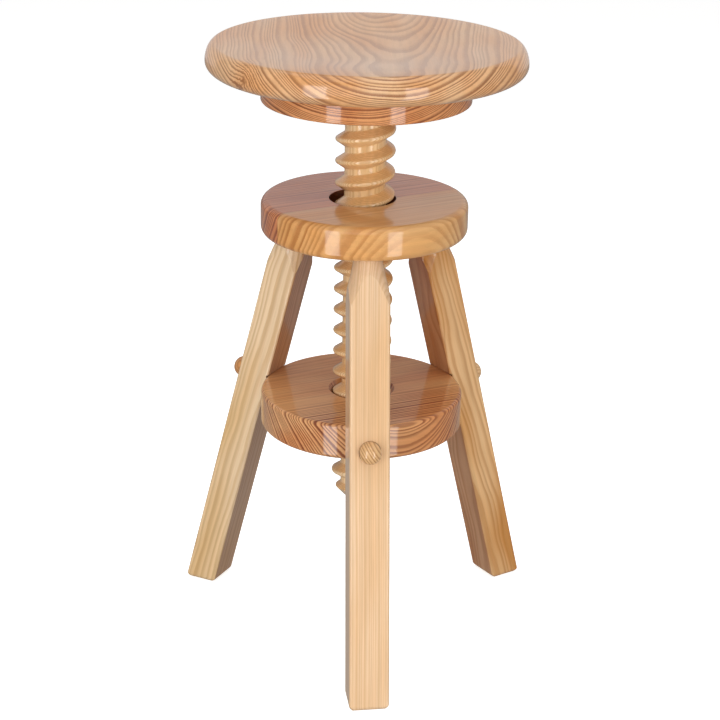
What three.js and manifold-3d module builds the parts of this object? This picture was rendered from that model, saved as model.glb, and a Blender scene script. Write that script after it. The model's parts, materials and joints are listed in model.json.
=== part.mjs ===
// A three-legged wooden screw stool.
//
// A round seat stands on a thick wooden screw. The screw turns in a threaded disc held between the
// legs, passes freely through a plain disc on top of the legs, and so raises or lowers the seat.
//
// Millimetres, +Z up. Every piece is drawn about the screw's axis at X = 0, Y = 0, with the floor at
// Z = 0. The finished group is then shifted along Y, so that the origin lies on the floor below the
// middle of the whole stool.

import * as THREE from 'three';
import { mergeVertices } from 'three/addons/utils/BufferGeometryUtils.js';
import Module from 'manifold-3d';

const wasm = await Module();
wasm.setup();

// ---- Driving dimensions ----------------------------------------------------------------------

const GAP = 0.3; // left between neighbouring pieces

const SEAT_RADIUS = 160;
const SEAT_THICKNESS = 30;
const SEAT_BOTTOM = 603; // height of the seat's underside with the seat as drawn
const SEAT_CROWN_RADIUS = 150; // the highest ring of the seat
const SEAT_DISH = 6; // depth of the hollow at the seat's centre
const SEAT_GIRTH_HEIGHT = 12; // the seat is widest this far above its underside
const SEAT_UNDERSIDE_RADIUS = 143; // where the underside starts to curve up to the rim

const DISC_RADIUS = 105.5; // hub plate, guide disc and nut disc are cut to one size

const HUB_THICKNESS = 27.7;
const HUB_EDGE_ROUND = 2;

const GUIDE_TOP = 474; // plain disc on top of the legs
const GUIDE_THICKNESS = 35;
const GUIDE_EDGE_ROUND = 7;
const GUIDE_HOLE_RADIUS = 34;
const GUIDE_HOLE_SHIFT = -2.2; // the hole is bored a little off the axis, along X
const GUIDE_JOINT_ANGLE = 25; // degrees, direction of the glue line between the two boards
const GUIDE_JOINT_OFFSET = -13; // the glue line passes this far in front of the axis

const NUT_TOP = 266; // threaded disc between the legs
const NUT_THICKNESS = 37;
const NUT_EDGE_ROUND = 4;
const NUT_MOUTH_RADIUS = 34.5;
const NUT_MOUTH_DEPTH = 3.5;

const THREAD_PITCH = 22.7; // one right-hand start
const THREAD_CREST_RADIUS = 30.5;
const THREAD_ROOT_RADIUS = 21;
const THREAD_CREST_WIDTH = 3.3;
const THREAD_FLANK_WIDTH = 6.6;
const THREAD_STEPS = 20; // facets in one turn
const THREAD_PHASE = 7.6; // in line with +X, a crest lies this far below the spindle's end
const NUT_RADIAL_CLEARANCE = 1.2;
const NUT_AXIAL_CLEARANCE = 0.9;

const SPINDLE_BOTTOM = 146;
const SPINDLE_POINT_RADIUS = 19; // the lower end is chamfered down to this radius
const SPINDLE_POINT_LENGTH = 13;
const TENON_RADIUS = 20; // the spindle's upper end, glued into the hub plate
const TENON_LENGTH = 14;

const CENTRE_SCREW = { shank: 4, head: 9, headHeight: 5, length: 60, recess: 6 };
const HUB_SCREW = {
  shank: 2.5, head: 4.8, headHeight: 3.5, rim: 0.4, length: 42, point: 6, circle: 75, count: 4,
};

const LEG_WIDTH = 40.5; // across the leg's outer face
const LEG_DEPTH = 35.2; // from the outer face to the inner face
const LEG_CORNER_ROUND = 3;
const LEG_FOOT_BEVEL = 2.5;
const LEG_SPLAY = 15; // degrees from upright
const LEG_FOOT_RADIUS = 191; // from the screw's axis to the leg's centre line at the floor
const LEG_NECK_RADIUS = 13.5; // the turned top of the leg where it meets the guide disc
const LEG_SHOULDER_RADIUS = 27; // the turned part ends where it is wider than the leg's corners
const LEG_SHOULDER_LENGTH = 54;
const LEG_SHOULDER_CURVE_RADIUS = 17.5; // control point of the shoulder's curve, at half its length
const LEG_TENON_RADIUS = 12.5;
const LEG_TENON_LENGTH = 26;
const LEG_HOUSING_RADIUS = 107; // the nut disc is let into the legs' inner faces

// One entry for each leg, with its angles in degrees: its direction from +X, how far the post is
// turned on its own centre line, the height where the peg's axis leaves the outer face, and how
// much the peg climbs outwards.
const LEGS = {
  front: { direction: 269.5, turn: 5, pegHeight: 254, pegRise: 8 },
  left: { direction: 150, turn: 0, pegHeight: 262, pegRise: 18 },
  right: { direction: 30, turn: 0, pegHeight: 254, pegRise: 8 },
};

const PEG_RADIUS = 11;
const PEG_INSIDE_LENGTH = 63;
const PEG_STUB_LENGTH = 4; // straight part standing out of the leg, below the dome
const PEG_DOME_HEIGHT = 10;

const ROUND_FACETS = 48; // facets round the large turned pieces
const HOLE_FACETS = 32; // facets round the large holes and the legs' turned tops
const SMALL_FACETS = 20; // facets round pegs and tenons
const SCREW_FACETS = 12; // facets round the metal screws

// ---- Derived dimensions ----------------------------------------------------------------------

const HUB_TOP = SEAT_BOTTOM - GAP;
const HUB_BOTTOM = HUB_TOP - HUB_THICKNESS;
const GUIDE_BOTTOM = GUIDE_TOP - GUIDE_THICKNESS;
const NUT_BOTTOM = NUT_TOP - NUT_THICKNESS;
const SPINDLE_SHOULDER = HUB_BOTTOM - GAP;
const SPINDLE_TOP = SPINDLE_SHOULDER + TENON_LENGTH;
const THREAD_BASE_WIDTH = THREAD_CREST_WIDTH + 2 * THREAD_FLANK_WIDTH;
const THREAD_SLOPE = THREAD_FLANK_WIDTH / (THREAD_CREST_RADIUS - THREAD_ROOT_RADIUS);

const splay = THREE.MathUtils.degToRad(LEG_SPLAY);
const legLevelDepth = LEG_DEPTH / Math.cos(splay); // the leg's depth measured level
const legCentreX = (z) => LEG_FOOT_RADIUS - z * Math.tan(splay);
const legTopAlongAxis = (GUIDE_BOTTOM - GAP) / Math.cos(splay);

// ---- Shape helpers ---------------------------------------------------------------------------

function solidOf(geometry) {
  const bare = geometry.clone();
  bare.deleteAttribute('normal');
  bare.deleteAttribute('uv');
  const merged = mergeVertices(bare, 1e-4);
  return new wasm.Manifold(new wasm.Mesh({
    numProp: 3,
    vertProperties: new Float32Array(merged.attributes.position.array),
    triVerts: new Uint32Array(merged.index.array),
  }));
}

function geometryOf(solid) {
  const mesh = solid.getMesh();
  const geometry = new THREE.BufferGeometry();
  geometry.setAttribute('position', new THREE.BufferAttribute(mesh.vertProperties, 3));
  geometry.setIndex(new THREE.BufferAttribute(mesh.triVerts, 1));
  return geometry;
}

// A turned shape about +Z, from [radius, height] points that start and end on the axis.
function turned(profile, facets) {
  const points = profile.map(([radius, height]) => new THREE.Vector2(radius, height));
  return new THREE.LatheGeometry(points, facets).rotateX(Math.PI / 2);
}

function rod(radius, bottom, top, facets = SMALL_FACETS) {
  return turned([[0, bottom], [radius, bottom], [radius, top], [0, top]], facets);
}

// Points along a quarter ellipse, from startAngle to endAngle in degrees.
function ellipsePoints(centre, radii, startAngle, endAngle, steps) {
  const curve = new THREE.EllipseCurve(
    centre[0], centre[1], radii[0], radii[1],
    THREE.MathUtils.degToRad(startAngle), THREE.MathUtils.degToRad(endAngle), endAngle < startAngle,
  );
  return curve.getPoints(steps).map((point) => [point.x, point.y]);
}

// A flat disc whose lower and upper edges are rounded.
function roundedDisc(radius, bottom, top, lowerRound, upperRound, steps) {
  return turned([
    [0, bottom],
    ...ellipsePoints([radius - lowerRound, bottom + lowerRound], [lowerRound, lowerRound], -90, 0, steps),
    ...ellipsePoints([radius - upperRound, top - upperRound], [upperRound, upperRound], 0, 90, steps),
    [0, top],
  ], ROUND_FACETS);
}

// Turns a shape drawn along +Z so that it leans along the leg's centre line.
function alongLeg(geometry) {
  return geometry.rotateY(-splay).translate(LEG_FOOT_RADIUS, 0, 0);
}

// Turns a shape drawn along +Z so that it points out of the leg's outer face along the peg's axis.
function alongPeg(geometry, leg) {
  return geometry
    .rotateY(THREE.MathUtils.degToRad(90 - leg.pegRise))
    .translate(legLevelDepth / 2, 0, 0)
    .rotateZ(THREE.MathUtils.degToRad(leg.turn))
    .translate(legCentreX(leg.pegHeight), 0, leg.pegHeight);
}

function aroundAxis(geometry, degrees) {
  return geometry.clone().rotateZ(THREE.MathUtils.degToRad(degrees));
}

// ---- Screw thread ----------------------------------------------------------------------------

// A right-hand helix whose frames keep one direction radial and the other upright, so that a
// section extruded along it lies in a plane through the axis, as a turner's thread tool does.
class Helix extends THREE.Curve {
  constructor(radius, pitch, start, turns) {
    super();
    this.radius = radius;
    this.pitch = pitch;
    this.start = start;
    this.turns = turns;
    this.arcLengthDivisions = 2 * THREAD_STEPS * turns;
  }

  getPoint(t, target = new THREE.Vector3()) {
    const angle = 2 * Math.PI * this.turns * t;
    return target.set(
      this.radius * Math.cos(angle),
      this.radius * Math.sin(angle),
      this.start + this.pitch * this.turns * t,
    );
  }

  getPointAt(t, target) {
    return this.getPoint(t, target);
  }

  computeFrenetFrames(segments) {
    const frames = { tangents: [], normals: [], binormals: [] };
    for (let i = 0; i <= segments; i += 1) {
      const angle = (2 * Math.PI * this.turns * i) / segments;
      frames.tangents.push(new THREE.Vector3(-Math.sin(angle), Math.cos(angle), 0));
      frames.normals.push(new THREE.Vector3(Math.cos(angle), Math.sin(angle), 0));
      frames.binormals.push(new THREE.Vector3(0, 0, -1));
    }
    return frames;
  }
}

// The thread's ridge on its core, from below `bottom` to above `top`. Its ends are trimmed later.
// Clearances of zero give the screw itself, and positive ones give the space that it needs.
function threadedCore(bottom, top, radialClearance, axialClearance) {
  const firstTurn = Math.floor((bottom - SPINDLE_BOTTOM) / THREAD_PITCH) - 1;
  const turns = Math.ceil((top - bottom) / THREAD_PITCH) + 3;
  const start = SPINDLE_BOTTOM - THREAD_PHASE + firstTurn * THREAD_PITCH;
  const coreRadius = THREAD_ROOT_RADIUS + radialClearance;
  const crestRadius = THREAD_CREST_RADIUS + radialClearance;
  const buried = coreRadius - 1.5;
  const halfWidthAt = (radius) => THREAD_BASE_WIDTH / 2 + axialClearance
    - (radius - THREAD_ROOT_RADIUS) * THREAD_SLOPE;
  const section = new THREE.Shape([
    new THREE.Vector2(buried - coreRadius, -halfWidthAt(coreRadius)),
    new THREE.Vector2(0, -halfWidthAt(coreRadius)),
    new THREE.Vector2(crestRadius - coreRadius, -halfWidthAt(crestRadius)),
    new THREE.Vector2(crestRadius - coreRadius, halfWidthAt(crestRadius)),
    new THREE.Vector2(0, halfWidthAt(coreRadius)),
    new THREE.Vector2(buried - coreRadius, halfWidthAt(coreRadius)),
  ]);
  const ridge = new THREE.ExtrudeGeometry(section, {
    steps: turns * THREAD_STEPS,
    extrudePath: new Helix(coreRadius, THREAD_PITCH, start, turns),
  });
  const core = rod(coreRadius, start - THREAD_PITCH, start + (turns + 1) * THREAD_PITCH, THREAD_STEPS);
  return solidOf(core).add(solidOf(ridge));
}

// ---- Pieces ----------------------------------------------------------------------------------

function hubScrewPlaces() {
  const places = [];
  for (let i = 0; i < HUB_SCREW.count; i += 1) {
    const angle = (2 * Math.PI * (i + 0.5)) / HUB_SCREW.count;
    places.push([HUB_SCREW.circle * Math.cos(angle), HUB_SCREW.circle * Math.sin(angle)]);
  }
  return places;
}

// A countersunk wood screw pointing up.
function hubScrewShape() {
  const { shank, head, headHeight, rim, length, point } = HUB_SCREW;
  const base = HUB_BOTTOM + GAP;
  return turned([
    [0, base],
    [head, base],
    [head, base + rim],
    [shank, base + headHeight],
    [shank, HUB_BOTTOM + length - point],
    [0, HUB_BOTTOM + length],
  ], SCREW_FACETS);
}

// The countersunk hole that the screw sits in, open at the hub plate's underside.
function hubScrewHole() {
  const { shank, head, headHeight, rim, length } = HUB_SCREW;
  const base = HUB_BOTTOM + GAP;
  return turned([
    [0, HUB_BOTTOM - 1],
    [head + GAP, HUB_BOTTOM - 1],
    [head + GAP, base + rim],
    [shank + GAP, base + headHeight + GAP],
    [shank + GAP, HUB_BOTTOM + length + GAP],
    [0, HUB_BOTTOM + length + GAP],
  ], SCREW_FACETS);
}

function seatGeometry() {
  const bottom = SEAT_BOTTOM;
  const girth = SEAT_BOTTOM + SEAT_GIRTH_HEIGHT;
  const crown = SEAT_BOTTOM + SEAT_THICKNESS;
  const underside = SEAT_RADIUS - SEAT_UNDERSIDE_RADIUS;
  const dish = new THREE.CubicBezierCurve(
    new THREE.Vector2(SEAT_CROWN_RADIUS, crown),
    new THREE.Vector2(SEAT_CROWN_RADIUS * 0.75, crown),
    new THREE.Vector2(SEAT_CROWN_RADIUS * 0.55, crown - SEAT_DISH),
    new THREE.Vector2(0, crown - SEAT_DISH),
  ).getPoints(5).map((point) => [point.x, point.y]);
  const profile = [
    [0, bottom],
    ...ellipsePoints([SEAT_UNDERSIDE_RADIUS, girth], [underside, SEAT_GIRTH_HEIGHT], -90, 0, 4),
    ...ellipsePoints(
      [SEAT_CROWN_RADIUS, girth],
      [SEAT_RADIUS - SEAT_CROWN_RADIUS, SEAT_THICKNESS - SEAT_GIRTH_HEIGHT],
      0, 90, 4,
    ).slice(1),
    ...dish.slice(1),
  ];
  let solid = solidOf(turned(profile, ROUND_FACETS));
  for (const [x, y] of hubScrewPlaces()) {
    solid = solid.subtract(solidOf(hubScrewHole().translate(x, y, 0)));
  }
  return geometryOf(solid);
}

function hubPlateGeometry() {
  const { shank, head, recess } = CENTRE_SCREW;
  let solid = solidOf(roundedDisc(DISC_RADIUS, HUB_BOTTOM, HUB_TOP, HUB_EDGE_ROUND, 1, 2));
  solid = solid.subtract(solidOf(rod(TENON_RADIUS + GAP, HUB_BOTTOM - 1, SPINDLE_TOP + GAP)));
  solid = solid.subtract(solidOf(rod(shank + GAP, HUB_BOTTOM, HUB_TOP)));
  solid = solid.subtract(solidOf(rod(head + GAP, HUB_TOP - recess, HUB_TOP + 1)));
  for (const [x, y] of hubScrewPlaces()) {
    solid = solid.subtract(solidOf(hubScrewHole().translate(x, y, 0)));
  }
  return geometryOf(solid);
}

function centreScrewGeometry() {
  const { shank, head, headHeight, length, recess } = CENTRE_SCREW;
  const seatOfHead = HUB_TOP - recess + GAP;
  return turned([
    [0, seatOfHead + headHeight - length],
    [shank, seatOfHead + headHeight - length + shank],
    [shank, seatOfHead],
    [head, seatOfHead],
    [head, seatOfHead + headHeight],
    [0, seatOfHead + headHeight],
  ], SMALL_FACETS);
}

function spindleGeometry() {
  const { shank, headHeight, length, recess } = CENTRE_SCREW;
  const envelope = turned([
    [0, SPINDLE_BOTTOM],
    [SPINDLE_POINT_RADIUS, SPINDLE_BOTTOM],
    [THREAD_CREST_RADIUS + 1, SPINDLE_BOTTOM + SPINDLE_POINT_LENGTH],
    [THREAD_CREST_RADIUS + 1, SPINDLE_SHOULDER],
    [0, SPINDLE_SHOULDER],
  ], THREAD_STEPS);
  const pilotBottom = HUB_TOP - recess + headHeight - length;
  return geometryOf(
    threadedCore(SPINDLE_BOTTOM, SPINDLE_SHOULDER, 0, 0)
      .intersect(solidOf(envelope))
      .add(solidOf(rod(TENON_RADIUS, SPINDLE_SHOULDER - 1, SPINDLE_TOP)))
      .subtract(solidOf(rod(shank + GAP, pilotBottom, SPINDLE_TOP + 1))),
  );
}

// One of the two boards that the guide disc is glued up from: side -1 is in front of the glue
// line, and side +1 behind it.
function guideBoardGeometry(side) {
  const size = 3 * DISC_RADIUS;
  const half = new THREE.BoxGeometry(size, size, size);
  half.translate(0, GUIDE_JOINT_OFFSET + side * (size / 2 + GAP / 2), GUIDE_TOP);
  let solid = solidOf(roundedDisc(
    DISC_RADIUS, GUIDE_BOTTOM, GUIDE_TOP, GUIDE_EDGE_ROUND, GUIDE_EDGE_ROUND, 3,
  ));
  const hole = rod(GUIDE_HOLE_RADIUS, GUIDE_BOTTOM - 1, GUIDE_TOP + 1, HOLE_FACETS);
  solid = solid.subtract(solidOf(hole.translate(GUIDE_HOLE_SHIFT, 0, 0)));
  solid = solid.intersect(solidOf(aroundAxis(half, GUIDE_JOINT_ANGLE)));
  const tenonEnd = legTopAlongAxis + LEG_TENON_LENGTH + GAP;
  const mortise = alongLeg(rod(LEG_TENON_RADIUS + GAP, legTopAlongAxis - 20, tenonEnd));
  for (const leg of Object.values(LEGS)) {
    solid = solid.subtract(solidOf(aroundAxis(mortise, leg.direction)));
  }
  return geometryOf(solid);
}

function nutDiscGeometry() {
  let solid = solidOf(roundedDisc(DISC_RADIUS, NUT_BOTTOM, NUT_TOP, NUT_EDGE_ROUND, NUT_EDGE_ROUND, 2));
  solid = solid.subtract(
    threadedCore(NUT_BOTTOM, NUT_TOP, NUT_RADIAL_CLEARANCE, NUT_AXIAL_CLEARANCE)
      .intersect(solidOf(rod(2 * THREAD_CREST_RADIUS, NUT_BOTTOM - 5, NUT_TOP + 5))),
  );
  const mouth = NUT_MOUTH_RADIUS - NUT_MOUTH_DEPTH;
  for (const [face, inward] of [[NUT_TOP, -1], [NUT_BOTTOM, 1]]) {
    const profile = [
      [0, face + inward * NUT_MOUTH_DEPTH],
      [mouth, face + inward * NUT_MOUTH_DEPTH],
      [NUT_MOUTH_RADIUS + 1, face - inward],
      [0, face - inward],
    ];
    const cutter = turned(inward < 0 ? profile : profile.reverse(), HOLE_FACETS);
    solid = solid.subtract(solidOf(cutter));
  }
  for (const leg of Object.values(LEGS)) {
    solid = solid.subtract(solidOf(aroundAxis(pegGeometry(leg, GAP), leg.direction)));
  }
  return geometryOf(solid);
}

// The leg that points along +X. Its level section is a rectangle, sheared along the splay, so the
// foot is cut parallel to the floor.
function legGeometry(leg) {
  const x = legLevelDepth / 2;
  const y = LEG_WIDTH / 2;
  const r = LEG_CORNER_ROUND;
  const section = new THREE.Shape();
  section.absarc(x - r, y - r, r, 0, Math.PI / 2);
  section.absarc(r - x, y - r, r, Math.PI / 2, Math.PI);
  section.absarc(r - x, r - y, r, Math.PI, 1.5 * Math.PI);
  section.absarc(x - r, r - y, r, 1.5 * Math.PI, 2 * Math.PI);
  const post = new THREE.ExtrudeGeometry(section, {
    depth: GUIDE_TOP,
    curveSegments: 2,
    bevelEnabled: true,
    bevelSegments: 1,
    bevelThickness: LEG_FOOT_BEVEL,
    bevelSize: LEG_FOOT_BEVEL,
    bevelOffset: -LEG_FOOT_BEVEL,
  }).translate(0, 0, LEG_FOOT_BEVEL);
  const shear = new THREE.Matrix4().makeShear(0, 0, 0, 0, -Math.tan(splay), 0);
  post.rotateZ(THREE.MathUtils.degToRad(leg.turn));
  post.applyMatrix4(shear).translate(LEG_FOOT_RADIUS, 0, 0);

  const top = legTopAlongAxis;
  const ogive = new THREE.QuadraticBezierCurve(
    new THREE.Vector2(LEG_SHOULDER_RADIUS, top - LEG_SHOULDER_LENGTH),
    new THREE.Vector2(LEG_SHOULDER_CURVE_RADIUS, top - LEG_SHOULDER_LENGTH / 2),
    new THREE.Vector2(LEG_NECK_RADIUS, top),
  ).getPoints(6).map((point) => [point.x, point.y]);
  const turnedTop = alongLeg(turned([
    [0, -50],
    [LEG_SHOULDER_RADIUS, -50],
    ...ogive,
    [LEG_NECK_RADIUS - 2, top + 20],
    [0, top + 20],
  ], HOLE_FACETS));
  const roomBelowGuide = new THREE.BoxGeometry(1000, 1000, GUIDE_BOTTOM - GAP + 50);
  roomBelowGuide.translate(0, 0, (GUIDE_BOTTOM - GAP - 50) / 2);
  const tenon = alongLeg(rod(LEG_TENON_RADIUS, top - 25, top + LEG_TENON_LENGTH));
  const housing = rod(LEG_HOUSING_RADIUS, NUT_BOTTOM - GAP, NUT_TOP + GAP, 2 * ROUND_FACETS);
  return geometryOf(
    solidOf(post)
      .intersect(solidOf(turnedTop))
      .intersect(solidOf(roomBelowGuide))
      .add(solidOf(tenon))
      .subtract(solidOf(housing))
      .subtract(solidOf(pegGeometry(leg, GAP))),
  );
}

// The peg that points along +X, grown by `margin` when it is used as its own hole.
function pegGeometry(leg, margin = 0) {
  const radius = PEG_RADIUS + margin;
  const inner = -PEG_INSIDE_LENGTH - margin;
  return alongPeg(turned([
    [0, inner],
    [radius - 1, inner],
    [radius, inner + 1],
    ...ellipsePoints([0, PEG_STUB_LENGTH], [radius, PEG_DOME_HEIGHT], 0, 90, 4),
  ], SMALL_FACETS), leg);
}

// ---- Materials -------------------------------------------------------------------------------

const wood = (color) => new THREE.MeshStandardMaterial({ color, roughness: 0.35, metalness: 0 });
const steel = new THREE.MeshStandardMaterial({ color: 0xb8b8b4, roughness: 0.35, metalness: 1 });
const goldenPine = wood(0xd9a566);
const redPine = wood(0xc98455);
const palePine = wood(0xe3bd85);

// ---- Assembly --------------------------------------------------------------------------------

const stool = new THREE.Group();

function piece(name, geometry, material, parent = stool) {
  const mesh = new THREE.Mesh(geometry, material);
  mesh.name = name;
  parent.add(mesh);
  return mesh;
}

piece('seat', seatGeometry(), goldenPine);
piece('hub_plate', hubPlateGeometry(), redPine);
piece('spindle', spindleGeometry(), goldenPine);
piece('centre_screw', centreScrewGeometry(), steel);
hubScrewPlaces().forEach(([x, y], index) => {
  piece(`hub_screw_${index + 1}`, hubScrewShape(), steel).position.set(x, y, 0);
});
piece('guide_disc_front_board', guideBoardGeometry(-1), goldenPine);
piece('guide_disc_back_board', guideBoardGeometry(1), redPine);
piece('nut_disc', nutDiscGeometry(), redPine);

for (const [side, leg] of Object.entries(LEGS)) {
  const corner = new THREE.Group();
  corner.rotation.z = THREE.MathUtils.degToRad(leg.direction);
  stool.add(corner);
  piece(`leg_${side}`, legGeometry(leg), palePine, corner);
  piece(`peg_${side}`, pegGeometry(leg), redPine, corner);
}

// The origin goes to the floor below the middle of the stool's bounding box.
stool.updateMatrixWorld(true);
const middle = new THREE.Box3().setFromObject(stool, true).getCenter(new THREE.Vector3());
stool.position.y = -middle.y;

export default stool;
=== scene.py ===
"""An adjustable screw stool in varnished pine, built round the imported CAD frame.

Every wooden piece gets a smooth mesh that takes the place of its faceted CAD node, and a solid-wood
material whose growth rings run through the whole piece, so that faces and end grain agree. The hub
screws get smooth meshes too. The hidden centre screw keeps its CAD mesh and only gets a metal.
"""

import json
import math

import bmesh
import bpy
from mathutils import Matrix, Vector


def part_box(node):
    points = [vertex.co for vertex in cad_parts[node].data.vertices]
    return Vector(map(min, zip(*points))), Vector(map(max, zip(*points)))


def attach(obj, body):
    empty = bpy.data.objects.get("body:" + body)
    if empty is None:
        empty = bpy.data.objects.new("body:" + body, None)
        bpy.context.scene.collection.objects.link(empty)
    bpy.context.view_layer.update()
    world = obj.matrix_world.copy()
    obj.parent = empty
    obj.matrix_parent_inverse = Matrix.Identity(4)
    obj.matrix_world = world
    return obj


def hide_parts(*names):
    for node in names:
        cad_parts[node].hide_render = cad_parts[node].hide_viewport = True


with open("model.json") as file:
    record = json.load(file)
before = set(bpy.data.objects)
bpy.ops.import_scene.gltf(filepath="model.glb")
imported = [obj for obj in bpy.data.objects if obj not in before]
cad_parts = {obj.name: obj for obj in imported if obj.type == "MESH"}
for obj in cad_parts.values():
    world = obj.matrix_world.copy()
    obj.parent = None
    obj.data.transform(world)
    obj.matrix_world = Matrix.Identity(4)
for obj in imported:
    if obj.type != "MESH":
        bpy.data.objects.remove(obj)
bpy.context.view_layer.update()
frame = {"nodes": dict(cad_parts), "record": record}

MM = 0.001
GAP = 0.3 * MM  # left between pieces that touch
OVERSHOOT = 1 * MM  # cutting tools reach this far past the faces that they cut

# ---- Places and sizes taken from the frame ---------------------------------------------------

seat_low, seat_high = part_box("seat")
hub_low, hub_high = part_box("hub_plate")
guide_low, guide_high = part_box("guide_disc_front_board")
nut_low, nut_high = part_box("nut_disc")
spindle_low, spindle_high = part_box("spindle")

AXIS = Vector(((seat_low.x + seat_high.x) / 2, (seat_low.y + seat_high.y) / 2, 0))
SEAT_RADIUS = (seat_high.x - seat_low.x) / 2
DISC_RADIUS = (hub_high.x - hub_low.x) / 2
HUB_BOTTOM, HUB_TOP = hub_low.z, hub_high.z
GUIDE_BOTTOM, GUIDE_TOP = guide_low.z, guide_high.z
NUT_BOTTOM, NUT_TOP = nut_low.z, nut_high.z
foot_mounts = {m["name"]: Vector(m["pos_m"]) for m in frame["record"]["mounts"]}
LEG_FOOT_RADIUS = (foot_mounts["foot_front"] - AXIS).length

# ---- Driving dimensions that the boxes don't give --------------------------------------------

SEAT_CROWN_RADIUS = 150 * MM
SEAT_DISH = 6 * MM
SEAT_GIRTH_HEIGHT = 12 * MM
SEAT_UNDERSIDE_RADIUS = 143 * MM

HUB_EDGE_ROUND = 2 * MM
GUIDE_EDGE_ROUND = 7 * MM
GUIDE_HOLE_RADIUS = 34 * MM
GUIDE_HOLE_SHIFT = -2.2 * MM  # the hole is bored a little off the axis
GUIDE_HOLE_EDGE = 0.6 * MM  # rounding of the hole's upper edge
GUIDE_JOINT_ANGLE = math.radians(25)
GUIDE_JOINT_OFFSET = -13 * MM
GLUE_LINE = 0.04 * MM
NUT_EDGE_ROUND = 4 * MM
NUT_MOUTH_RADIUS = 34.5 * MM
NUT_MOUTH_DEPTH = 3.5 * MM

THREAD_PITCH = 22.7 * MM
THREAD_CREST_RADIUS = 30.5 * MM
THREAD_ROOT_RADIUS = 21 * MM
THREAD_CREST_WIDTH = 3.3 * MM
THREAD_FLANK_WIDTH = 6.6 * MM
THREAD_PHASE = 7.6 * MM
THREAD_CREST_ROUND = 0.08  # share of the thread's depth over which the crest is rounded
NUT_RADIAL_CLEARANCE = 1.1 * MM
NUT_AXIAL_CLEARANCE = 0.8 * NUT_RADIAL_CLEARANCE
SPINDLE_POINT_RADIUS = 19 * MM
SPINDLE_POINT_LENGTH = 13 * MM
SPINDLE_TENON_RADIUS = 20 * MM
SPINDLE_STEP = 0.01 * MM  # height over which the thread steps in to the tenon

LEG_WIDTH = 40.5 * MM
LEG_DEPTH = 35.2 * MM
LEG_SPLAY = math.radians(15)
LEG_EDGE_ROUND = 3 * MM
LEG_FOOT_ROUND = 5 * MM
LEG_NECK_RADIUS = 13.5 * MM
LEG_SHOULDER_RADIUS = 27 * MM
LEG_SHOULDER_LENGTH = 54 * MM
LEG_SHOULDER_CURVE_RADIUS = 17.5 * MM
LEG_TENON_RADIUS = 12.5 * MM
LEG_TENON_LENGTH = 26 * MM
LEG_TENON_ROOT = 25 * MM  # how far the tenon's own mesh starts inside the post
LEG_CLEAR_RADIUS = 40 * MM  # wider than the post's corners
LEG_CLEAR_ABOVE = 20 * MM  # cutters reach this far past the leg's upper end
LEG_CLEAR_BELOW = 50 * MM  # and this far past the foot
INNER_FACE_LIMIT = 0.85  # faces turned inwards with a greater cosine get the darker copy of the wood, as painted shade
LEG_HOUSING_RADIUS = DISC_RADIUS + GAP

# Each leg's direction from +X, the turn of its post on its own centre line, the height where its
# peg leaves the outer face, and how much the peg climbs outwards. The angles are in degrees.
LEGS = {
    "front": {"direction": 269.5, "turn": 5, "peg_height": 254 * MM, "peg_rise": 8},
    "left": {"direction": 150, "turn": 0, "peg_height": 262 * MM, "peg_rise": 18},
    "right": {"direction": 30, "turn": 0, "peg_height": 254 * MM, "peg_rise": 8},
}

PEG_RADIUS = 11 * MM
PEG_INSIDE_LENGTH = 63 * MM
PEG_STUB_LENGTH = 4 * MM
PEG_DOME_HEIGHT = 10 * MM
PEG_CHAMFER = 1 * MM
PEG_HOLE_OUTSIDE = 30 * MM  # the hole's cutter stands out of the leg's outer face by this

HUB_SCREW_COUNT = 4
HUB_SCREW_CIRCLE = 75 * MM
HUB_SCREW_HEAD_RADIUS = 4.8 * MM
HUB_SCREW_HEAD_HEIGHT = 3.5 * MM
HUB_SCREW_HEAD_CHAMFER = 0.3 * MM
HUB_SCREW_RIM = 0.4 * MM  # straight part of the head, below its cone
HUB_SCREW_SHANK_RADIUS = 2.5 * MM
HUB_SCREW_LENGTH = 42 * MM
HUB_SCREW_POINT = 6 * MM
HUB_SCREW_SLOT = (5.6 * MM, 1.1 * MM, 3.6 * MM)  # cutter for one slot; half its height cuts

KNOT_SIZE = 8 * MM

LARGE_SEGMENTS = 192  # round the seat, discs and large holes
LEG_SEGMENTS = 128  # round the legs' turned shoulders
SMALL_SEGMENTS = 64  # round pegs, tenons and screws
ON_AXIS = 1e-9  # a smaller radius is a point on the axis

SPINDLE_SHOULDER = HUB_BOTTOM - GAP
LEG_LEVEL_DEPTH = LEG_DEPTH / math.cos(LEG_SPLAY)
LEG_TOP = GUIDE_BOTTOM - GAP
LEG_TOP_ALONG = LEG_TOP / math.cos(LEG_SPLAY)


# ---- Camera and stage ------------------------------------------------------------------------

CAMERA_LENS = 95.3
CAMERA_DISTANCE = 1.998
CAMERA_ELEVATION = math.radians(21.36)
CAMERA_AZIMUTH = math.radians(-94.02)
CAMERA_ROLL = math.radians(1.06)
CAMERA_TARGET_HEIGHT = 0.2971
CAMERA_TARGET_SIDE = 0.00705
CAMERA_SHIFT = -0.012

LIGHT_AIM = AXIS + Vector((0, 0, 0.32))  # the middle of the stool


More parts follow.
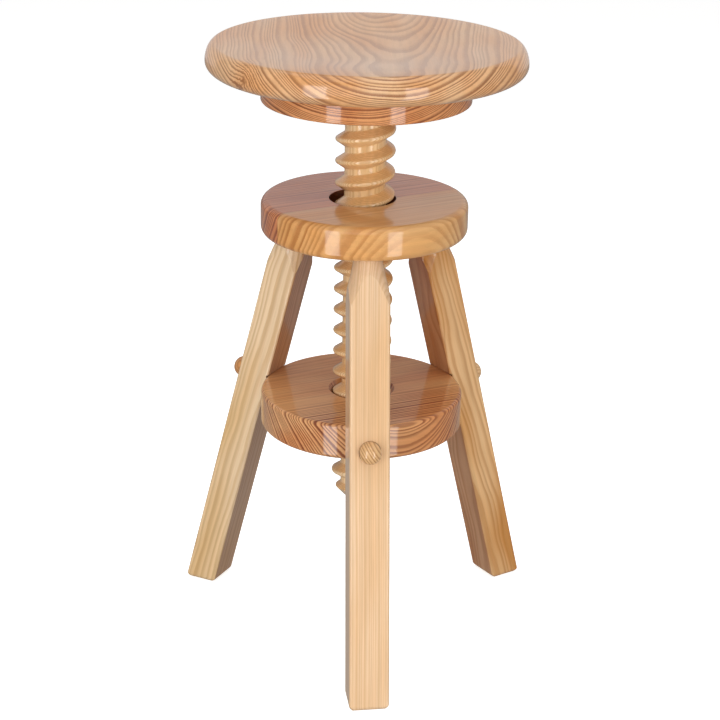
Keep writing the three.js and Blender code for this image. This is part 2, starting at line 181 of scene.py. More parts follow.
def make_camera():
    azimuth, elevation = CAMERA_AZIMUTH, CAMERA_ELEVATION
    level_right = Vector((-math.sin(azimuth), math.cos(azimuth), 0))
    back = Vector((
        math.cos(elevation) * math.cos(azimuth),
        math.cos(elevation) * math.sin(azimuth),
        math.sin(elevation),
    ))
    level_up = back.cross(level_right)
    right = level_right * math.cos(CAMERA_ROLL) + level_up * math.sin(CAMERA_ROLL)
    up = back.cross(right)
    target = AXIS + Vector((0, 0, CAMERA_TARGET_HEIGHT)) + level_right * CAMERA_TARGET_SIDE
    data = bpy.data.cameras.new("camera")
    data.lens = CAMERA_LENS
    data.shift_x = CAMERA_SHIFT
    camera = bpy.data.objects.new("camera", data)
    rotation = Matrix((right, up, back)).transposed().to_4x4()
    camera.matrix_world = Matrix.Translation(target + back * CAMERA_DISTANCE) @ rotation
    bpy.context.scene.collection.objects.link(camera)
    bpy.context.scene.camera = camera


def area_light(name, place, aim, width, height, radiance, colour=(1, 1, 1)):
    """A soft box that looks from place to aim. Radiance 1 is as bright as a white wall."""
    data = bpy.data.lights.new(name, "AREA")
    data.shape = "RECTANGLE"
    data.size = width
    data.size_y = height
    data.energy = radiance * width * height * math.pi
    data.color = colour
    light = bpy.data.objects.new(name, data)
    direction = Vector(aim) - Vector(place)
    light.location = place
    light.rotation_euler = direction.to_track_quat("-Z", "Y").to_euler()
    light.visible_camera = False
    bpy.context.scene.collection.objects.link(light)
    return light


def around(degrees, distance, height):
    """A place round the stool. Degree 0 is the camera's side, and positive is to its right."""
    angle = CAMERA_AZIMUTH + math.radians(degrees)
    return AXIS + Vector((distance * math.cos(angle), distance * math.sin(angle), height))


def make_floor():
    """A pale ground that glows a little, so that it stays even. The stool doesn't see or shade it."""
    bpy.ops.mesh.primitive_plane_add(size=60, location=(0, 0, 0))
    floor = bpy.context.object
    floor.name = "floor"
    material = bpy.data.materials.new("pale_floor")
    material.use_nodes = True
    shader = material.node_tree.nodes["Principled BSDF"]
    shader.inputs["Base Color"].default_value = (0.93, 0.93, 0.93, 1)
    shader.inputs["Roughness"].default_value = 0.9
    shader.inputs["Specular IOR Level"].default_value = 0.1
    shader.inputs["Emission Color"].default_value = (1, 1, 1, 1)
    shader.inputs["Emission Strength"].default_value = 0.7
    floor.data.materials.append(material)
    floor.visible_diffuse = False
    floor.visible_glossy = False
    floor.visible_shadow = False


def make_world():
    world = bpy.data.worlds.new("studio")
    world.use_nodes = True
    background = world.node_tree.nodes["Background"]
    background.inputs["Color"].default_value = (1.0, 0.985, 0.97, 1)
    background.inputs["Strength"].default_value = 0.28
    bpy.context.scene.world = world
    bpy.context.scene.view_settings.view_transform = "Standard"


def make_front_lights():
    """Two tall narrow windows, whose upright highlights show on the varnished edges, and a fill."""
    height = 0.28
    for name, side, radiance in (("left_window", -33, 4.5), ("right_window", 33, 4.1)):
        area_light(name, around(side, 1.2, height), AXIS + Vector((0, 0, height)), 0.32, 1.4, radiance)
    area_light("front_fill", around(-8, 2.4, 1.0), LIGHT_AIM, 2.0, 1.8, 0.9)


def make_back_card():
    """A pale card behind the stool, which the flat tops of the seat and the guide disc reflect."""
    height = 0.885
    aim = AXIS + Vector((0, 0, height))
    area_light("back_card", around(180, 0.5, height), aim, 1.6, 0.73, 0.36, (1.0, 0.87, 0.86))


def make_surrounding_lights():
    """A broad ceiling, and lights at the sides and the back that aren't seen in the varnish."""
    area_light("ceiling", AXIS + Vector((0, -0.3, 2.4)), AXIS, 2.4, 2.4, 1.0)
    for name, side, radiance in (("left_fill", -80, 1.1), ("right_fill", 80, 1.5), ("back_fill", 180, 0.7)):
        fill = area_light(name, around(side, 1.6, 1.1), LIGHT_AIM, 1.0, 1.2, radiance)
        fill.visible_glossy = False


def make_stage():
    make_floor()
    make_world()
    make_front_lights()
    make_back_card()
    make_surrounding_lights()


# ---- Mesh helpers ----------------------------------------------------------------------------


def new_object(name, bm):
    """Closes a bmesh into an object at the origin, with its faces pointing out."""
    bmesh.ops.recalc_face_normals(bm, faces=bm.faces)
    mesh = bpy.data.meshes.new(name)
    bm.to_mesh(mesh)
    bm.free()
    piece = bpy.data.objects.new(name, mesh)
    bpy.context.scene.collection.objects.link(piece)
    return piece


def revolve(profile, segments):
    """A bmesh turned about Z from (radius, height) points that start and end on the axis."""
    bm = bmesh.new()
    rings = []
    for radius, height in profile:
        if radius < ON_AXIS:
            rings.append([bm.verts.new((0, 0, height))] * segments)
            continue
        angles = (2 * math.pi * i / segments for i in range(segments))
        rings.append([bm.verts.new((radius * math.cos(a), radius * math.sin(a), height)) for a in angles])
    for lower, upper in zip(rings, rings[1:]):
        for i in range(segments):
            j = (i + 1) % segments
            corners = [lower[i], lower[j], upper[j], upper[i]]
            bm.faces.new(list(dict.fromkeys(corners)))
    return bm


def arc(centre, radii, start, end, steps):
    """(radius, height) points on a quarter ellipse, from start to end in degrees."""
    points = []
    for i in range(steps + 1):
        angle = math.radians(start + (end - start) * i / steps)
        points.append((centre[0] + radii[0] * math.cos(angle), centre[1] + radii[1] * math.sin(angle)))
    return points


def bezier(points, steps):
    """Points along a quadratic or cubic curve."""
    result = []
    for i in range(steps + 1):
        t = i / steps
        level = [Vector(p) for p in points]
        while len(level) > 1:
            level = [a.lerp(b, t) for a, b in zip(level, level[1:])]
        result.append(tuple(level[0]))
    return result


def flat(start, end, steps):
    """Inner points of a straight stretch, so that a large flat face has even facets."""
    return [
        (start[0] + (end[0] - start[0]) * i / steps, start[1] + (end[1] - start[1]) * i / steps)
        for i in range(1, steps)
    ]


def rod(radius, bottom, top, segments=SMALL_SEGMENTS):
    return revolve([(0, bottom), (radius, bottom), (radius, top), (0, top)], segments)


def apply_modifiers(piece):
    """Turns a piece and its modifiers into one plain mesh."""
    graph = bpy.context.evaluated_depsgraph_get()
    mesh = bpy.data.meshes.new_from_object(piece.evaluated_get(graph))
    old = piece.data
    piece.modifiers.clear()
    piece.data = mesh
    mesh.name = piece.name
    bpy.data.meshes.remove(old)


def combine(piece, bm, operation="DIFFERENCE"):
    """Cuts piece with the shape in a bmesh, or joins them. The bmesh is used up."""
    tool = new_object("tool", bm)
    modifier = piece.modifiers.new("combine", "BOOLEAN")
    modifier.operation = operation
    modifier.solver = "EXACT"
    modifier.object = tool
    apply_modifiers(piece)
    bpy.data.objects.remove(tool)


def cut_half(bm, point, normal):
    """Cuts away what lies on the normal's side of a plane, and closes the cut."""
    geometry = bm.verts[:] + bm.edges[:] + bm.faces[:]
    bmesh.ops.bisect_plane(bm, geom=geometry, plane_co=point, plane_no=normal, clear_outer=True)
    bmesh.ops.holes_fill(bm, edges=[e for e in bm.edges if e.is_boundary], sides=0)


def smooth(piece, degrees=32):
    """Smooth shading that keeps real edges sharp and flat faces flat."""
    piece.data.shade_smooth()
    piece.data.set_sharp_from_angle(angle=math.radians(degrees))
    weighted = piece.modifiers.new("weighted", "WEIGHTED_NORMAL")
    weighted.keep_sharp = True
    apply_modifiers(piece)


def along_leg(bm):
    """Leans a shape drawn along Z into line with the leg that points along +X."""
    bm.transform(Matrix.Translation((LEG_FOOT_RADIUS, 0, 0)) @ Matrix.Rotation(-LEG_SPLAY, 4, "Y"))
    return bm


def leg_centre(height):
    """How far the leg's centre line stands from the screw's axis at a height."""
    return LEG_FOOT_RADIUS - height * math.tan(LEG_SPLAY)


def along_peg(bm, leg):
    """Lays a shape drawn along Z on the peg's axis, in the leg drawn along +X."""
    lean = Matrix.Rotation(math.pi / 2 - math.radians(leg["peg_rise"]), 4, "Y")
    to_face = Matrix.Translation((LEG_LEVEL_DEPTH / 2, 0, 0))
    turn = Matrix.Rotation(math.radians(leg["turn"]), 4, "Z")
    to_leg = Matrix.Translation((leg_centre(leg["peg_height"]), 0, leg["peg_height"]))
    bm.transform(to_leg @ turn @ to_face @ lean)
    return bm


def about_axis(bm, degrees=0):
    """Turns a shape drawn round the screw's axis at the origin, and moves it to its place."""
    bm.transform(Matrix.Translation(AXIS) @ Matrix.Rotation(math.radians(degrees), 4, "Z"))
    return bm


def finish_piece(piece, node, body, slot, *materials):
    """Puts a piece in its node's place. The first material is the one that new faces have."""
    piece.data.materials.clear()
    for material in materials:
        piece.data.materials.append(material)
    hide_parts(node)
    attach(piece, body)


def paint(piece, index, wanted):
    """Gives the material with this index to the faces that are wanted."""
    for polygon in piece.data.polygons:
        if wanted(polygon):
            polygon.material_index = index


# ---- Wood material ---------------------------------------------------------------------------


class Graph:
    """Short calls for building a node tree."""

    def __init__(self, tree):
        self.tree = tree

    def node(self, kind, **settings):
        made = self.tree.nodes.new(kind)
        for key, value in settings.items():
            setattr(made, key, value)
        return made

    def put(self, socket, value):
        if isinstance(value, bpy.types.NodeSocket):
            self.tree.links.new(value, socket)
        else:
            socket.default_value = value

    def math(self, operation, a, b=0.0):
        made = self.node("ShaderNodeMath", operation=operation)
        self.put(made.inputs[0], a)
        self.put(made.inputs[1], b)
        return made.outputs[0]

    def vector(self, operation, a, b=(0, 0, 0), output="Vector"):
        made = self.node("ShaderNodeVectorMath", operation=operation)
        self.put(made.inputs[0], a)
        self.put(made.inputs[1], b)
        return made.outputs[output]

    def noise(self, vector, scale=1.0, detail=2.0, roughness=0.5, output=0):
        made = self.node("ShaderNodeTexNoise", noise_dimensions="3D")
        self.put(made.inputs["Vector"], vector)
        made.inputs["Scale"].default_value = scale
        made.inputs["Detail"].default_value = detail
        made.inputs["Roughness"].default_value = roughness
        return made.outputs[output]

    def noise_in_grain(self, local, across, along, detail=2.0, roughness=0.5):
        """Noise with so many cells in a metre across the grain, and so many along it."""
        cells = self.vector("MULTIPLY", local, (across, across, along))
        return self.noise(cells, detail=detail, roughness=roughness)

    def noise_line(self, w, scale):
        """A smooth change along one number."""
        made = self.node("ShaderNodeTexNoise", noise_dimensions="1D")
        self.put(made.inputs["W"], w)
        made.inputs["Scale"].default_value = scale
        made.inputs["Detail"].default_value = 0.0
        return made.outputs[0]

    def swing(self, noise, amount):
        """Turns a noise value into an offset of up to half this amount either way."""
        return self.math("MULTIPLY", self.math("SUBTRACT", noise, 0.5), amount)

    def span(self, value, low, high, to_low=0.0, to_high=1.0):
        """Moves a value from one range to another, and holds it inside that."""
        made = self.node("ShaderNodeMapRange")
        self.put(made.inputs["Value"], value)
        made.inputs["From Min"].default_value = low
        made.inputs["From Max"].default_value = high
        made.inputs["To Min"].default_value = to_low
        made.inputs["To Max"].default_value = to_high
        return made.outputs[0]

    def mix(self, factor, a, b, blend="MIX"):
        made = self.node("ShaderNodeMix", data_type="RGBA", blend_type=blend)
        self.put(made.inputs["Factor"], factor)
        self.put(made.inputs["A"], a)
        self.put(made.inputs["B"], b)
        return made.outputs["Result"]

    def ramp(self, factor, stops):
        """A soft grey ramp through (position, level) stops."""
        made = self.node("ShaderNodeValToRGB")
        made.color_ramp.interpolation = "EASE"
        elements = made.color_ramp.elements
        while len(elements) < len(stops):
            elements.new(0.5)
        for element, (position, level) in zip(elements, stops):
            element.position = position
            element.color = (level, level, level, 1)
        self.put(made.inputs["Fac"], factor)
        return made.outputs["Color"]


NOISE_COLOUR = 1  # the noise node's second output holds three values

# How dark the wood is within one year: pale after the start, then darkening to the next ring.
RING_PROFILE = ((0.0, 0.3), (0.08, 0.0), (0.38, 0.05), (0.6, 0.6), (0.72, 1.0), (0.94, 1.0), (1.0, 0.3))
YEAR_CHANGE = 1.7  # rings come early or late by up to half this many years
YEAR_CHANGE_RATE = 0.33  # and that changes about once in three rings
RING_ROUGHNESS = 0.14  # how rough the rings' edges are, in rings
STRONG_RING_BLEND = 40 * MM  # width over which the rings get strong beyond strong_from


def knot_shape(g, place, knot):
    """How dark a small knot is, and how far it pushes the rings out round it."""
    distance = g.vector("DISTANCE", place, tuple(knot), output="Value")
    rough = g.swing(g.noise(place, scale=260), KNOT_SIZE * 0.8)
    distance = g.math("ADD", distance, rough)
    core = g.span(distance, KNOT_SIZE * 0.9, KNOT_SIZE * 0.4)
    swell = g.math("POWER", g.span(distance, KNOT_SIZE * 3.5, 0), 2)
    return core, g.math("MULTIPLY", swell, KNOT_SIZE * 1.6)


def grain_space(g, place, pith, grain):
    """The grain's direction, and the place measured from the pith with its Z along the grain."""
    along = Vector(grain).normalized()
    across = along.orthogonal().normalized()
    third = along.cross(across)
    from_pith = g.vector("SUBTRACT", place, tuple(pith))
    local = g.node("ShaderNodeCombineXYZ")
    for socket, direction in zip(local.inputs, (across, third, along)):
        g.put(socket, g.vector("DOT_PRODUCT", from_pith, tuple(direction), output="Value"))
    return along, local.outputs[0]


def ring_radius(g, local, wave, wave_length, wave_along, seed):
    """The distance from the pith, with the wandering of the rings taken in."""
    slow = g.vector("MULTIPLY", local, (1 / wave_length, 1 / wave_length, wave_along / wave_length))
    slow = g.vector("ADD", slow, (seed, 0, 0))
    drift = g.vector("SUBTRACT", g.noise(slow, detail=1.5, output=NOISE_COLOUR), (0.5, 0.5, 0.5))
    drift = g.vector("MULTIPLY", drift, (2 * wave, 2 * wave, 0))
    wandering = g.vector("ADD", local, drift)
    return g.vector("LENGTH", g.vector("MULTIPLY", wandering, (1, 1, 0)), output="Value")


def ring_number(g, local, radius, spacing):
    """Counts the years outwards: even steps, with some years narrower than others."""
    even = g.math("DIVIDE", radius, spacing)
    ring = g.math("ADD", even, g.swing(g.noise_line(even, YEAR_CHANGE_RATE), YEAR_CHANGE))
    return g.math("ADD", ring, g.swing(g.noise_in_grain(local, 900, 60, detail=1.0), RING_ROUGHNESS))


def ring_darkness(g, local, ring, depth):
    """How dark the ring is here. Some years are weaker, and all fade a little in places."""
    profile = g.ramp(g.math("FRACT", ring), RING_PROFILE)
    strength = g.node("ShaderNodeTexWhiteNoise", noise_dimensions="1D")
    g.put(strength.inputs["W"], g.math("FLOOR", ring))
    strength = g.span(strength.outputs[0], 0, 1, 0.65, 1.0)
    fading = g.span(g.noise_in_grain(local, 14, 5), 0.3, 0.7, 0.7, 1.0)
    return g.math("MULTIPLY", g.math("MULTIPLY", profile, strength), g.math("MULTIPLY", fading, depth))


def brighten(g, colour, value):
    """Multiplies a colour by one value."""
    grey = g.node("ShaderNodeCombineXYZ")
    for socket in grey.inputs:
        g.put(socket, value)
    return g.mix(1.0, colour, grey.outputs[0], blend="MULTIPLY")


def varnish(g, shader, local, dark, fibres):
    """A clear coat over wood whose rings and fibres stand up a little."""
    bump = g.node("ShaderNodeBump")
    bump.inputs["Strength"].default_value = 0.25
    bump.inputs["Distance"].default_value = 0.08 * MM
    height = g.math("ADD", g.math("MULTIPLY", dark, 0.6), g.math("MULTIPLY", fibres, 0.5))
    g.put(bump.inputs["Height"], height)
    g.put(shader.inputs["Normal"], bump.outputs["Normal"])
    g.put(shader.inputs["Roughness"], g.span(g.noise_in_grain(local, 60, 20), 0.3, 0.7, 0.34, 0.46))
    shader.inputs["Specular IOR Level"].default_value = 0.1
    shader.inputs["Coat Weight"].default_value = 1.0
    shader.inputs["Coat Roughness"].default_value = 0.09
    shader.inputs["Coat IOR"].default_value = 1.5


def pine(
    name,
    pith,
    grain,
    spacing,
    early,
    late,
    tint,
    contrast=1.0,
    side_contrast=0.85,
    wave=4 * MM,
    wave_length=0.09,
    wave_along=0.35,
    knot=None,
    strong_from=None,
    end_grain_painted_shade=None,
    seed=0.0,
):
    """Solid varnished pine: growth rings about a pith line, drawn in the piece's own space.

    pith is a point on the pith line in the row frame, and grain is the line's direction.
    spacing is the rings' width. early, late and tint are the colours of the pale wood, of the
    dark ring and of the broad patches. contrast is how strong the rings are on end grain, and
    side_contrast is the share of it that shows on faces along the grain. wave says how far the
    rings wander, wave_length over what length, and wave_along how quickly along the grain for 1
    across it. knot is the place of a small knot. Rings farther from the pith than strong_from
    are strong on every face. end_grain_painted_shade is painted shade, multiplied into the colour of end
    grain;
    on the screw it darkens the thread's flanks. seed sets how the rings wander.
    """
    material = bpy.data.materials.new(name)
    material.use_nodes = True
    shader = material.node_tree.nodes["Principled BSDF"]
    g = Graph(material.node_tree)

    coordinates = g.node("ShaderNodeTexCoord").outputs
    along, local = grain_space(g, coordinates["Object"], pith, grain)
    facing = g.vector("DOT_PRODUCT", coordinates["Normal"], tuple(along), output="Value")
    end_grain = g.math("ABSOLUTE", facing)

    radius = ring_radius(g, local, wave, wave_length, wave_along, seed)
    if knot is not None:
        core, swell = knot_shape(g, coordinates["Object"], knot)
        radius = g.math("ADD", radius, swell)
    depth = g.span(end_grain, 0.05, 0.75, contrast * side_contrast, contrast)
    if strong_from is not None:
        outer_years = g.span(radius, strong_from, strong_from + STRONG_RING_BLEND, 0, contrast)
        depth = g.math("MAXIMUM", depth, outer_years)
    dark = ring_darkness(g, local, ring_number(g, local, radius, spacing), depth)
    if knot is not None:
        dark = g.math("MAXIMUM", dark, core)

    patch = g.span(g.noise_in_grain(local, 22, 6, detail=1.0), 0.38, 0.66)
    colour = g.mix(dark, g.mix(patch, (*early, 1), (*tint, 1)), (*late, 1))
    # End grain is darkened here as painted shade; on the screw this darkens the thread's flanks.
    if end_grain_painted_shade is not None:
        shaded = g.mix(1.0, colour, (*end_grain_painted_shade, 1), blend="MULTIPLY")
        colour = g.mix(g.span(end_grain, 0.35, 0.75), colour, shaded)
    fibres = g.noise_in_grain(local, 1500, 28, detail=3.0, roughness=0.65)
    fine = g.span(fibres, 0.25, 0.75, 0.93, 1.06)
    streaks = g.span(g.noise_in_grain(local, 190, 5), 0.3, 0.7, 0.93, 1.05)
    g.put(shader.inputs["Base Color"], brighten(g, colour, g.math("MULTIPLY", fine, streaks)))
    varnish(g, shader, local, dark, fibres)
    return material


def steel(name):
    """Bright zinc-plated steel, brushed a little dull."""
    material = bpy.data.materials.new(name)
    material.use_nodes = True
    shader = material.node_tree.nodes["Principled BSDF"]
    g = Graph(material.node_tree)
    place = g.node("ShaderNodeTexCoord").outputs["Object"]
    cloud = g.noise_in_grain(place, 400, 400, detail=3.0)
    g.put(shader.inputs["Base Color"], g.mix(cloud, (0.62, 0.61, 0.58, 1), (0.42, 0.42, 0.41, 1)))
    g.put(shader.inputs["Roughness"], g.span(cloud, 0.3, 0.7, 0.22, 0.42))
    bump = g.node("ShaderNodeBump")
    bump.inputs["Distance"].default_value = 0.03 * MM
    g.put(bump.inputs["Height"], cloud)
    g.put(shader.inputs["Normal"], bump.outputs["Normal"])
    shader.inputs["Metallic"].default_value = 1.0
    return material


# ---- Seat and hub plate ----------------------------------------------------------------------


def make_seat():
    bottom = seat_low.z
    crown = seat_high.z
    girth = bottom + SEAT_GIRTH_HEIGHT
    rim_low = (SEAT_RADIUS - SEAT_UNDERSIDE_RADIUS, SEAT_GIRTH_HEIGHT)
    rim_high = (SEAT_RADIUS - SEAT_CROWN_RADIUS, crown - girth)
    dish = bezier(
        [
            (SEAT_CROWN_RADIUS, crown),
            (SEAT_CROWN_RADIUS * 0.75, crown),
            (SEAT_CROWN_RADIUS * 0.55, crown - SEAT_DISH),
            (0, crown - SEAT_DISH),
        ],
        36,
    )
    profile = [
        (0, bottom),
        *flat((0, bottom), (SEAT_UNDERSIDE_RADIUS, bottom), 8),
        *arc((SEAT_UNDERSIDE_RADIUS, girth), rim_low, -90, 0, 14),
        *arc((SEAT_CROWN_RADIUS, girth), rim_high, 0, 90, 18)[1:],
        *dish[1:],
    ]
    seat = new_object("round_seat", about_axis(revolve(profile, LARGE_SEGMENTS)))
    smooth(seat)
    material = pine(
        "seat_pine",
        pith=AXIS + Vector((0.022, 0, seat_low.z + 0.125)),
        grain=(0.05, 1, -0.07),
        spacing=3.3 * MM,
        early=(0.80, 0.49, 0.26),
        late=(0.21, 0.055, 0.012),
        tint=(0.74, 0.37, 0.15),
        side_contrast=0.5,
        wave=7 * MM,
        wave_along=0.6,
        knot=AXIS + Vector((-0.118, -0.100, (seat_low.z + seat_high.z) / 2)),
        seed=3.1,
    )
    finish_piece(seat, "seat", "seat_assembly", "golden_pine", material)


def hub_screw_places():
    places = []
    for i in range(HUB_SCREW_COUNT):
        angle = math.radians(360 / HUB_SCREW_COUNT * (i + 0.5))
        places.append(Vector((HUB_SCREW_CIRCLE * math.cos(angle), HUB_SCREW_CIRCLE * math.sin(angle), 0)))
    return places


def make_hub_plate():
    r = HUB_EDGE_ROUND
    profile = [
        (0, HUB_BOTTOM),
        *flat((0, HUB_BOTTOM), (DISC_RADIUS - r, HUB_BOTTOM), 6),
        *arc((DISC_RADIUS - r, HUB_BOTTOM + r), (r, r), -90, 0, 6),
        *arc((DISC_RADIUS - r / 2, HUB_TOP - r / 2), (r / 2, r / 2), 0, 90, 3),
        *flat((DISC_RADIUS, HUB_TOP), (0, HUB_TOP), 6)[1:],
        (0, HUB_TOP),
    ]
    hub = new_object("hub_disc", about_axis(revolve(profile, LARGE_SEGMENTS)))
    socket = rod(SPINDLE_TENON_RADIUS + GAP, HUB_BOTTOM - OVERSHOOT, spindle_high.z + GAP)
    combine(hub, about_axis(socket))
    for place in hub_screw_places():
        head, shank = HUB_SCREW_HEAD_RADIUS + GAP, HUB_SCREW_SHANK_RADIUS + GAP
        sink = revolve(
            [
                (0, HUB_BOTTOM - OVERSHOOT),
                (head, HUB_BOTTOM - OVERSHOOT),
                (head, HUB_BOTTOM + GAP + HUB_SCREW_RIM),
                (shank, HUB_BOTTOM + HUB_SCREW_HEAD_HEIGHT + GAP),
                (shank, HUB_TOP + OVERSHOOT),
                (0, HUB_TOP + OVERSHOOT),
            ],
            SMALL_SEGMENTS,
        )
        sink.transform(Matrix.Translation(place))
        combine(hub, about_axis(sink))
    smooth(hub)
    material = pine(
        "hub_pine",
        pith=AXIS + Vector((-0.03, 0, HUB_TOP + 0.19)),
        grain=(-0.12, 1, 0.05),
        spacing=2.6 * MM,
        early=(0.78, 0.36, 0.14),
        late=(0.16, 0.025, 0.007),
        tint=(0.66, 0.24, 0.07),
        wave=5 * MM,
        seed=7.7,
    )
    finish_piece(hub, "hub_plate", "seat_assembly", "red_pine", material)


def hub_screw_mesh(number):
    """A countersunk screw with a cross slot, pointing up on the axis."""
    base = HUB_BOTTOM + GAP
    shape = revolve(
        [
            (0, base),
            (HUB_SCREW_HEAD_RADIUS - HUB_SCREW_HEAD_CHAMFER, base),
            (HUB_SCREW_HEAD_RADIUS, base + HUB_SCREW_RIM),
            (HUB_SCREW_SHANK_RADIUS, base + HUB_SCREW_HEAD_HEIGHT),
            (HUB_SCREW_SHANK_RADIUS, HUB_BOTTOM + HUB_SCREW_LENGTH - HUB_SCREW_POINT),
            (0, HUB_BOTTOM + HUB_SCREW_LENGTH),
        ],
        SMALL_SEGMENTS,
    )
    screw = new_object(f"wood_screw_{number}", shape)
    for turn in (0, 90):
        cutter = bmesh.new()
        bmesh.ops.create_cube(cutter, size=1)
        cutter.transform(Matrix.Translation((0, 0, base)) @ Matrix.Diagonal((*HUB_SCREW_SLOT, 1)))
        cutter.transform(Matrix.Rotation(math.radians(turn + 20 * number), 4, "Z"))
        combine(screw, cutter)
    return screw


def make_metal_screws():
    """The hub screws get new meshes, and the centre screw only gets the same metal."""
    metal = steel("screw_steel")
    frame["nodes"]["centre_screw"].data.materials.clear()
    frame["nodes"]["centre_screw"].data.materials.append(metal)
    for number, place in enumerate(hub_screw_places(), start=1):
        screw = hub_screw_mesh(number)
        screw.data.transform(Matrix.Translation(AXIS + place))
        smooth(screw)
        finish_piece(screw, f"hub_screw_{number}", "seat_assembly", "screw_steel", metal)


# ---- Screw -----------------------------------------------------------------------------------


def thread_radius(offset, radial, axial):
    """The thread's radius at a height above or below the middle of its ridge.

    The flank rises in a straight line, and bends over smoothly just below the flat crest.
    """
    half_crest = THREAD_CREST_WIDTH / 2 + axial
    rise = (half_crest + THREAD_FLANK_WIDTH - abs(offset)) / THREAD_FLANK_WIDTH
    rise = max(0.0, rise)
    full = 1 + half_crest / THREAD_FLANK_WIDTH
    bend = 1 - THREAD_CREST_ROUND
    if rise > bend:
        rise = bend + THREAD_CREST_ROUND * math.sin(math.pi / 2 * (rise - bend) / (full - bend))
    return THREAD_ROOT_RADIUS + radial + (THREAD_CREST_RADIUS - THREAD_ROOT_RADIUS) * rise


def helix(bottom, top, radial=0.0, axial=0.0, segments=96, steps=32):
    """A threaded rod whose rows follow the thread, open at both ends and longer than asked."""
    bm = bmesh.new()
    first_ridge = spindle_low.z - THREAD_PHASE
    start = first_ridge + math.floor((bottom - first_ridge) / THREAD_PITCH - 2) * THREAD_PITCH
    turns = math.ceil((top - start) / THREAD_PITCH) + 2
    offsets = [THREAD_PITCH * (k / steps - 0.5) for k in range(steps)]
    radii = [thread_radius(offset, radial, axial) for offset in offsets]
    grid = []
    for i in range(turns * segments + 1):
        angle = 2 * math.pi * i / segments
        ridge = start + THREAD_PITCH * i / segments
        row = []
        for offset, radius in zip(offsets, radii):
            row.append(bm.verts.new((radius * math.cos(angle), radius * math.sin(angle), ridge + offset)))
        grid.append(row)
    for i in range((turns - 1) * segments):
        # Above a row's last point comes the first point of the row one turn farther up.
        here = grid[i] + grid[i + segments][:1]
        there = grid[i + 1] + grid[i + segments + 1][:1]
        for k in range(steps):
            bm.faces.new((here[k], there[k], there[k + 1], here[k + 1]))
    loose = [v for v in bm.verts if not v.link_faces]
    bmesh.ops.delete(bm, geom=loose, context="VERTS")
    return bm


def spindle_limit(height):
    """The greatest radius that the spindle has at a height, apart from its thread."""
    if height < spindle_low.z + SPINDLE_POINT_LENGTH:
        slope = (THREAD_CREST_RADIUS - SPINDLE_POINT_RADIUS) / SPINDLE_POINT_LENGTH
        return SPINDLE_POINT_RADIUS + max(0.0, height - spindle_low.z) * slope
    if height > SPINDLE_SHOULDER + 0.8 * SPINDLE_STEP:
        return SPINDLE_TENON_RADIUS
    return math.inf


def make_spindle():
    bottom, top = spindle_low.z, spindle_high.z
    bm = helix(bottom, top)
    for height in (SPINDLE_SHOULDER, SPINDLE_SHOULDER + SPINDLE_STEP):
        geometry = bm.verts[:] + bm.edges[:] + bm.faces[:]
        bmesh.ops.bisect_plane(bm, geom=geometry, plane_co=(0, 0, height), plane_no=(0, 0, 1))
    for vertex in bm.verts:
        radius = vertex.co.xy.length
        limit = spindle_limit(vertex.co.z)
        if limit < radius:
            vertex.co.x *= limit / radius
            vertex.co.y *= limit / radius
    cut_half(bm, (0, 0, top), (0, 0, 1))
    cut_half(bm, (0, 0, bottom), (0, 0, -1))
    spindle = new_object("wooden_screw", about_axis(bm))
    smooth(spindle, 50)
    material = pine(
        "spindle_pine",
        pith=AXIS + Vector((0.02, 0.28, 0)),
        grain=(0.01, 0.02, 1),
        spacing=1.7 * MM,
        early=(0.90, 0.67, 0.40),
        late=(0.60, 0.30, 0.10),
        tint=(0.82, 0.53, 0.25),
        # Painted shade on the thread's flanks, whose end grain faces up or down.
        end_grain_painted_shade=(0.96, 0.88, 0.78),
        wave=2 * MM,
        seed=11.3,
    )
    finish_piece(spindle, "spindle", "seat_assembly", "golden_pine", material)


# ---- Discs on the legs -----------------------------------------------------------------------


def rounded_disc(bottom, top, edge_round):
    """A disc's outline from the middle of its underside to the middle of its top."""
    flat_radius = DISC_RADIUS - edge_round
    radii = (edge_round, edge_round)
    return [
        (0, bottom),
        *flat((0, bottom), (flat_radius, bottom), 6),
        *arc((flat_radius, bottom + edge_round), radii, -90, 0, 10),
        *arc((flat_radius, top - edge_round), radii, 0, 90, 10),
        *flat((flat_radius, top), (0, top), 6),
        (0, top),
    ]


